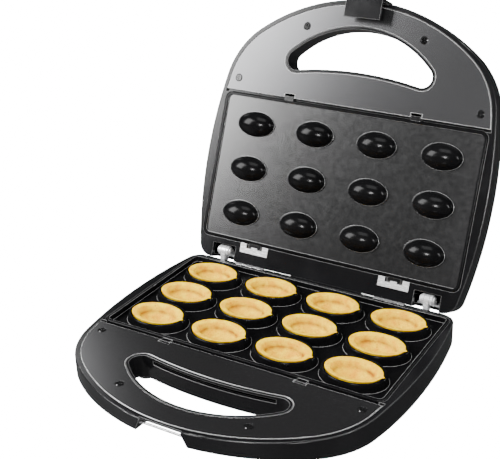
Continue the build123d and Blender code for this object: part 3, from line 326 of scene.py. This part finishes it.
def grained_surface():
    """Cloudy tone, uneven gloss, a fine skin and softly rounded edges."""
    group, given, result = node_group(
        "grained_surface",
        (
            ("Dark", "color", (0, 0, 0, 1)),
            ("Light", "color", (1, 1, 1, 1)),
            ("Cloud Scale", "float", 20.0),
            ("Gloss Scale", "float", 200.0),
            ("Smooth", "float", 0.3),
            ("Rough", "float", 0.5),
            ("Skin Scale", "float", 1500.0),
            ("Skin Height", "float", 0.00003),
            ("Edge", "float", 0.0004),
            ("Stretch", "vector", (1, 1, 1)),
        ),
        (("Color", "color"), ("Roughness", "float"), ("Normal", "vector"), ("Edges", "float")),
    )
    nodes = Tree(group)
    where = nodes.where(given["Stretch"])
    cloud = nodes.fade(nodes.noise(where, given["Cloud Scale"]), 0.3, 0.7)
    gloss = nodes.noise(where, given["Gloss Scale"], 5, 0.6)
    skin = nodes.noise(where, given["Skin Scale"], 3)
    edge = nodes.node("ShaderNodeBevel", {"samples": 4}, Radius=given["Edge"])["Normal"]
    facing = nodes.vectors("DOT_PRODUCT", edge, nodes.node("ShaderNodeNewGeometry", {})["Normal"])
    nodes.feed(result["Edges"], nodes.fade(facing, EDGE_START, EDGE_FULL))
    nodes.feed(result["Color"], nodes.mix(cloud, given["Dark"], given["Light"]))
    nodes.feed(result["Roughness"], nodes.fade(gloss, 0.3, 0.7, given["Smooth"], given["Rough"]))
    nodes.feed(result["Normal"], nodes.bump(skin, given["Skin Height"], 0.6, edge))
    return group


def fine_flecks():
    """Small round flecks, thinned out in patches."""
    group, given, result = node_group(
        "fine_flecks",
        (("Scale", "float", 900.0), ("Size", "float", 0.16), ("Share", "float", 0.5)),
        (("Mask", "float"),),
    )
    nodes = Tree(group)
    where = nodes.where()
    dots = nodes.fade(nodes.cells(where, given["Scale"]), 0.0, given["Size"], 1.0, 0.0)
    patch_scale = nodes.maths("MULTIPLY", given["Scale"], 0.45)
    patches = nodes.fade(nodes.noise(where, patch_scale, 2), given["Share"], 0.75)
    nodes.feed(result["Mask"], nodes.maths("MULTIPLY", dots, patches))
    return group


GRAIN = grained_surface()
FLECKS = fine_flecks()


# The finishes
class Finish(Tree):
    """A Principled surface with its own values for the shared patterns."""

    def __init__(self, name, dark, light, smooth, rough, cloud=20, gloss=200, skin=1500, height=0.00003,
                 edge=0.0004, stretch=(1, 1, 1), **sockets):
        self.material = bpy.data.materials.new(name)
        self.material.use_nodes = True
        super().__init__(self.material.node_tree)
        self.surface = self.tree.nodes["Principled BSDF"]
        for socket, value in sockets.items():
            self.surface.inputs[socket.replace("_", " ")].default_value = value
        self.grain = self.group(GRAIN, {
            "Dark": dark, "Light": light, "Cloud Scale": cloud, "Gloss Scale": gloss, "Smooth": smooth,
            "Rough": rough, "Skin Scale": skin, "Skin Height": height, "Edge": edge, "Stretch": stretch,
        })
        for output, socket in (("Color", "Base Color"), ("Roughness", "Roughness"), ("Normal", "Normal")):
            self.feed(self.surface.inputs[socket], self.grain[output])
        self.edges = self.grain["Edges"]

    def group(self, group, values):
        """The outputs of a shared group, placed with these values."""
        node = self.tree.nodes.new("ShaderNodeGroup")
        node.node_tree = group
        for label, value in values.items():
            self.feed(node.inputs[label], value)
        return node.outputs

    def colour(self, value):
        """The surface's colour."""
        self.feed(self.surface.inputs["Base Color"], value)

    def flecks(self, scale, size, share):
        """Mask of the fine flecks."""
        return self.group(FLECKS, {"Scale": scale, "Size": size, "Share": share})["Mask"]

    def plain_near(self, centres, radius):
        """No painted edge highlight within a radius of these points, in millimetres."""
        place, nearest = self.where(), None
        for centre in centres:
            away = self.vectors("DISTANCE", place, centre)
            nearest = away if nearest is None else self.maths("MINIMUM", nearest, away)
        clear = self.fade(nearest, radius * MM, (radius + SCREW_FADE) * MM)
        self.edges = self.maths("MULTIPLY", self.edges, clear)
        return self

    def nonmetal_highlight_edges(self, metallic, metallic_edges):
        """The metal taken off along the edges, so that the painted edge highlight shows there as plain pale
        colour.
        """
        edge_metal_level = self.fade(self.edges, 0.0, 1.0, metallic, metallic_edges)
        self.feed(self.surface.inputs["Metallic"], edge_metal_level)
        return self

    def painted_edge_highlight(self, edges):
        """Edges painted a lighter tone: a painted highlight along them."""
        self.colour(self.mix(self.edges, self.grain["Color"], edges))
        return self


def golden_crust():
    """Shortcrust: golden, browner along its edges, with crumbs and small pores; its brown line along the
    hollow is partly painted shade, and its colour is painted darker where it is seen in reflections.
    """
    finish = Finish(
        "golden_crust", (0.80, 0.37, 0.0004), (1.0, 0.70, 0.0015), 0.52, 0.74, cloud=190, gloss=1500,
        skin=900, height=0.0002, edge=0.0002, IOR=1.4, Specular_IOR_Level=0.08, Subsurface_Weight=0.04,
        Subsurface_Scale=0.0015, Subsurface_Radius=(1.0, 0.5, 0.2),
    )
    where = finish.where()
    # Brown from the mesh: browning of the edges, and over the hollow and on its line also painted shade.
    toast_and_shade = finish.node("ShaderNodeAttribute", {"attribute_name": "toast_and_shade"})["Fac"]
    uneven = finish.fade(finish.noise(where, 160), 0.35, 0.65, 0.35, 1.0)
    brown, speck = (0.27, 0.085, 0.003), (0.42, 0.15, 0.003)
    tone = finish.mix(finish.maths("MULTIPLY", toast_and_shade, uneven), finish.grain["Color"], brown)
    tone = finish.mix(finish.flecks(scale=470, size=0.42, share=0.36), tone, speck)
    crumb_and_reflection_dimming = finish.fade(finish.noise(where, 1100, roughness=0.7), 0.3, 0.7, 0.78, 1.06)
    # The crust's colour is painted darker where it is seen in reflections.
    crumb_and_reflection_dimming = finish.maths("MULTIPLY", seen_by(finish.tree, **CRUST_REFLECTION_DIMMING), crumb_and_reflection_dimming)
    finish.colour(finish.dimmed(tone, crumb_and_reflection_dimming))
    pores = finish.fade(finish.cells(where, 900), 0.06, 0.3)
    pitted = finish.bump(pores, distance=0.00018, strength=0.7, normal=finish.grain["Normal"])
    finish.feed(finish.surface.inputs["Normal"], pitted)
    return finish


def nonstick():
    """Speckled satin coating, polished where it stands up from the lid's plate and over the lower plate."""
    finish = Finish(
        "nonstick", (0.002, 0.002, 0.0022), (0.004, 0.004, 0.0043), 0.20, 0.25,
        cloud=30, gloss=250, skin=1500, height=0.00001, edge=0.0004, IOR=1.5,
    )
    speck, edge_highlight_grey = (0.03, 0.03, 0.032), (0.42, 0.42, 0.42)
    swing = math.radians(OPEN_ANGLE)
    outward = (0.0, math.sin(swing), math.cos(swing))
    parting = HINGE.dot(Vector(outward)) - HINGE_RISE
    depth = finish.vectors("DOT_PRODUCT", finish.where(), outward)
    polished = finish.fade(depth, (parting + POLISH_START) * MM, (parting + POLISH_END) * MM)
    smoother = finish.fade(polished, 0.0, 1.0, 1.0, 0.85)
    roughness = finish.maths("MULTIPLY", finish.grain["Roughness"], smoother)
    finish.feed(finish.surface.inputs["Roughness"], roughness)
    finish.feed(finish.surface.inputs["Specular IOR Level"], finish.fade(polished, 0.0, 1.0, 0.9, 0.10))
    height = finish.node("ShaderNodeSeparateXYZ", {}, Vector=finish.where())["Z"]
    collar = RIM_Z - COLLAR_CLEAR
    raised = finish.fade(height, collar * MM, (collar + COLLAR_FADE) * MM)
    plain = finish.fade(finish.maths("MULTIPLY", polished, raised), 0.0, 1.0, 1.0, 0.0)
    speckled = finish.mix(finish.flecks(scale=2400, size=0.30, share=0.35), finish.grain["Color"], speck)
    # The edges are painted pale grey, a painted highlight, except where the coating is polished and stands
    # above a level just under the shells' rims.
    finish.colour(finish.mix(finish.maths("MULTIPLY", finish.edges, plain), speckled, edge_highlight_grey))
    return finish


def clear_tint(name, dark, light):
    """Clear tinted plastic or glass with faint ripples."""
    return Finish(
        name, dark, light, 0.05, 0.1, skin=500, height=0.00002, IOR=1.49, Transmission_Weight=0.75,
    )


def screw_places():
    """The trim screws of both halves: on the base, and carried round the hinge with the lid."""
    opening = Matrix.Rotation(math.radians(-OPEN_ANGLE), 3, "X")
    for x, y in TRIM_SCREWS:
        for side in (-1, 1):
            on_base = Vector((side * x, PLATE_Y + y, PARTING_Z - SCREW_SINK))
            on_lid = Vector((side * x, PLATE_Y + y, PARTING_Z + SCREW_SINK))
            yield on_base * MM
            yield (HINGE + opening @ (on_lid - HINGE)) * MM


finishes = {
    # The housing's edges are painted a lighter grey: a painted highlight.
    "housing": Finish(
        "polished_housing", (0.003, 0.003, 0.0034), (0.006, 0.006, 0.0066), 0.14, 0.21, cloud=14, gloss=60,
        skin=1800, height=0.00001, edge=0.0007, IOR=1.46, Specular_IOR_Level=0.3,
    ).painted_edge_highlight((0.17, 0.17, 0.17)),
    # The trim's edges are painted near white and without metal: a painted highlight.
    "trim": Finish(
        "satin_lacquer", (0.090, 0.090, 0.092), (0.104, 0.104, 0.107), 0.21, 0.24, cloud=9, gloss=900,
        skin=2600, height=0.000001, edge=0.00038, IOR=1.5,
    ).plain_near(screw_places(), SCREW_CLEAR).painted_edge_highlight((0.95, 0.95, 0.95)).nonmetal_highlight_edges(0.92, 0.0),
    "plate": nonstick(),
    "baked": golden_crust(),
    "chromed": Finish(
        "bright_nickel", (0.74, 0.74, 0.75), (0.88, 0.88, 0.89), 0.18, 0.32, stretch=(1, 1, 6), edge=0.0003,
        Metallic=0.6,
    ),
    "steel": Finish(
        "plain_steel", (0.66, 0.66, 0.67), (0.80, 0.80, 0.81), 0.12, 0.26, stretch=(0.15, 1, 1),
        Metallic=0.85,
    ),
    # The screws' edges are painted a little lighter: a painted highlight.
    "black_screw": Finish(
        "blackened_screw", (0.002, 0.002, 0.0021), (0.005, 0.005, 0.0052), 0.05, 0.10, edge=0.00015,
        Specular_IOR_Level=0.5,
    ).painted_edge_highlight((0.05, 0.05, 0.05)),
    "heater": Finish(
        "heated_sheath", (0.12, 0.11, 0.10), (0.24, 0.21, 0.18), 0.38, 0.6, cloud=70, Metallic=0.9,
    ),
    "reflector": Finish(
        "bright_tray", (0.58, 0.58, 0.59), (0.78, 0.78, 0.79), 0.14, 0.34, stretch=(0.1, 1, 1),
        Metallic=1.0,
    ),
    "ceramic": Finish("white_ceramic", (0.74, 0.72, 0.68), (0.82, 0.80, 0.77), 0.3, 0.5, cloud=90),
    "rubber": Finish(
        "black_rubber", (0.018, 0.018, 0.018), (0.034, 0.034, 0.034), 0.6, 0.8, skin=1200, height=0.0001,
    ),
    "gland": Finish("black_nylon", (0.014, 0.014, 0.015), (0.028, 0.028, 0.029), 0.42, 0.6, skin=1200),
    "block": Finish("pale_nylon", (0.62, 0.61, 0.55), (0.74, 0.72, 0.66), 0.35, 0.5, cloud=90),
    "lens": clear_tint("tinted_lens", (0.40, 0.03, 0.02), (0.50, 0.04, 0.03)),
    "lamp": clear_tint("neon_glass", (0.70, 0.38, 0.26), (0.85, 0.48, 0.32)),
    "brass": Finish("plain_brass", (0.60, 0.45, 0.20), (0.72, 0.55, 0.26), 0.2, 0.38, Metallic=1.0),
}
for part in frame["record"]["subparts"]:
    node = frame["nodes"][part["node"]]
    for held in node.material_slots:
        held.material = finishes[part["material_slot"]].material


# The baked shells
def crust_rings():
    """Half section of a shell from its foot over its rim into the hollow: kind, reach, height, brown share,
    which over the hollow and on its line is also painted shade.
    """
    top = RIM_Z - RIM_HEIGHT
    for step in range(SIDE_STEPS):
        turn = math.radians(SIDE_TURN * step)
        height = CUP_CENTRE_Z - (CUP_HALF_Y - BAKE_GAP) * math.cos(turn)
        yield "cup", math.sin(turn), min(height, top), SIDE_BROWN
    for reach, rise, brown in RIM_SECTION:
        yield "cup", reach, RIM_Z + rise, brown
    for step in range(1, HOLLOW_STEPS + 1):
        turn = math.radians(HOLLOW_TURN * step)
        reach, height = math.cos(turn), HOLLOW_CENTRE_Z - HOLLOW_HALF_Y * math.sin(turn)
        # A brown line along the hollow's wall, with a little brown over the hollow: browning, and also
        # painted shade that draws the hollow's edge.
        line = math.exp(-((reach - LINE_REACH) / LINE_WIDTH) ** 2)
        yield "hollow", reach, min(height, top), HOLLOW_BROWN_AND_SHADE + line


def crust_point(kind, reach, height, turn):
    """A point of a shell's ring, with the small nub at the right end of its rim."""
    along, across = reach * math.cos(turn), reach * math.sin(turn)
    if kind == "hollow":
        return Vector((HOLLOW_HALF_X * along, HOLLOW_HALF_Y * across, height)) * MM
    nub = 0.0
    if height > RIM_Z - NUB_DEPTH and reach > NUB_START:
        from_right = (turn + math.pi) % math.tau - math.pi
        nub = NUB_REACH * math.exp(-(from_right / NUB_SPREAD) ** 2)
    return Vector((
        SHRINK_X * (CUP_HALF_X - BAKE_GAP) * along + nub,
        SHRINK_Y * (CUP_HALF_Y - BAKE_GAP) * across,
        height,
    )) * MM


def crust_blank():
    """One baked shell round the origin: its sides, its rim and its hollow."""
    mesh = bmesh.new()
    toast_shade_layer = mesh.verts.layers.float.new("toast_and_shade")
    rings = []
    for kind, reach, height, brown in crust_rings():
        ring = []
        for step in range(SHELL_STEPS):
            vert = mesh.verts.new(crust_point(kind, reach, height, math.tau * step / SHELL_STEPS))
            vert[toast_shade_layer] = brown
            ring.append(vert)
        rings.append(ring)
    for low, high in zip(rings, rings[1:]):
        for step in range(SHELL_STEPS):
            after = (step + 1) % SHELL_STEPS
            mesh.faces.new((low[step], low[after], high[after], high[step]))
    for ring in (rings[0], rings[-1]):
        middle = sum((vert.co for vert in ring), Vector()) / SHELL_STEPS
        bmesh.ops.pointmerge(mesh, verts=ring, merge_co=middle)
    bmesh.ops.remove_doubles(mesh, verts=mesh.verts, dist=2e-6)
    bmesh.ops.recalc_face_normals(mesh, faces=mesh.faces)
    data = bpy.data.meshes.new("crust_blank")
    mesh.to_mesh(data)
    mesh.free()
    for face in data.polygons:
        face.use_smooth = True
    return data


def crust_grid():
    """Geometry nodes that set a shell at each place of the grid and give each its own unevenness."""
    group = bpy.data.node_groups.new("crust_grid", "GeometryNodeTree")
    face = group.interface
    face.new_socket(name="Geometry", in_out="INPUT", socket_type="NodeSocketGeometry")
    for label, kind in (
        ("Columns", "Int"), ("Rows", "Int"), ("Pitch X", "Float"), ("Pitch Y", "Float"),
        ("Middle", "Vector"), ("Unevenness", "Float"), ("Unevenness Scale", "Float"), ("Seed", "Float"),
        ("Crust", "Material"),
    ):
        face.new_socket(name=label, in_out="INPUT", socket_type="NodeSocket" + kind)
    face.new_socket(name="Geometry", in_out="OUTPUT", socket_type="NodeSocketGeometry")
    nodes = Tree(group)
    given = group.nodes.new("NodeGroupInput").outputs
    result = group.nodes.new("NodeGroupOutput").inputs

    def span(count, pitch):
        return nodes.maths("MULTIPLY", nodes.maths("SUBTRACT", given[count], 1.0), given[pitch])

    places = nodes.node(
        "GeometryNodeMeshGrid", {},
        Size_X=span("Columns", "Pitch X"), Size_Y=span("Rows", "Pitch Y"),
        Vertices_X=given["Columns"], Vertices_Y=given["Rows"],
    )["Mesh"]
    places = nodes.node("GeometryNodeSetPosition", {}, Geometry=places, Offset=given["Middle"])["Geometry"]
    copies = nodes.node("GeometryNodeInstanceOnPoints", {}, Points=places, Instance=given["Geometry"])
    shells = nodes.node("GeometryNodeRealizeInstances", {}, Geometry=copies["Instances"])["Geometry"]
    where = group.nodes.new("GeometryNodeInputPosition").outputs["Position"]
    rough = nodes.node(
        "ShaderNodeTexNoise", {"noise_dimensions": "4D"},
        Vector=where, W=given["Seed"], Scale=given["Unevenness Scale"], Detail=3.0,
    )["Color"]
    push = nodes.vectors("SUBTRACT", rough, (0.5, 0.5, 0.5), "Vector")
    push = nodes.vectors("SCALE", push, given["Unevenness"], "Vector")
    shells = nodes.node("GeometryNodeSetPosition", {}, Geometry=shells, Offset=push)["Geometry"]
    shells = nodes.node("GeometryNodeSetMaterial", {}, Geometry=shells, Material=given["Crust"])["Geometry"]
    nodes.feed(result["Geometry"], shells)
    return group


def grown(name, blank, group, values):
    """A plain object grown from a blank by a geometry group with its named values."""
    maker = linked(bpy.data.objects.new(name + "_blank", blank))
    modifier = maker.modifiers.new("grid", "NODES")
    modifier.node_group = group
    for item in group.interface.items_tree:
        if item.in_out == "INPUT" and item.name in values:
            modifier[item.identifier] = values[item.name]
    maker.update_tag()
    bpy.context.view_layer.update()
    ready = maker.evaluated_get(bpy.context.evaluated_depsgraph_get())
    data = bpy.data.meshes.new_from_object(ready)
    data.name = name
    bpy.data.objects.remove(maker)
    return linked(bpy.data.objects.new(name, data))


crusts = grown("walnut_crusts", crust_blank(), crust_grid(), {
    "Columns": CUP_COLUMNS,
    "Rows": CUP_ROWS,
    "Pitch X": PITCH_X * MM,
    "Pitch Y": PITCH_Y * MM,
    "Middle": (0.0, PLATE_Y * MM, 0.0),
    "Unevenness": 0.00035,
    "Unevenness Scale": 260.0,
    "Seed": 11.0,
    "Crust": finishes["baked"].material,
})
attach(crusts, "base")
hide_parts("baked_shells")


# The table top
def table_top():
    """A wide white table top, bright to the eye and quiet in reflections."""
    data = bpy.data.meshes.new("table_top")
    corners = [(x * TABLE_REACH, y * TABLE_REACH, 0) for x, y in ((-1, -1), (1, -1), (1, 1), (-1, 1))]
    data.from_pydata(corners, [], [(0, 1, 2, 3)])
    finish = Finish("white_table", (0.86, 0.86, 0.86), (0.88, 0.88, 0.88), 0.55, 0.65, cloud=3)
    finish.colour(finish.dimmed(finish.grain["Color"], seen_by(finish.tree, **TABLE_TONE)))
    finish.feed(finish.surface.inputs["Emission Color"], (1.0, 1.0, 1.0))
    finish.feed(finish.surface.inputs["Emission Strength"], seen_by(finish.tree, **TABLE_GLOW))
    data.materials.append(finish.material)
    return linked(bpy.data.objects.new("table_top", data))


table_top()
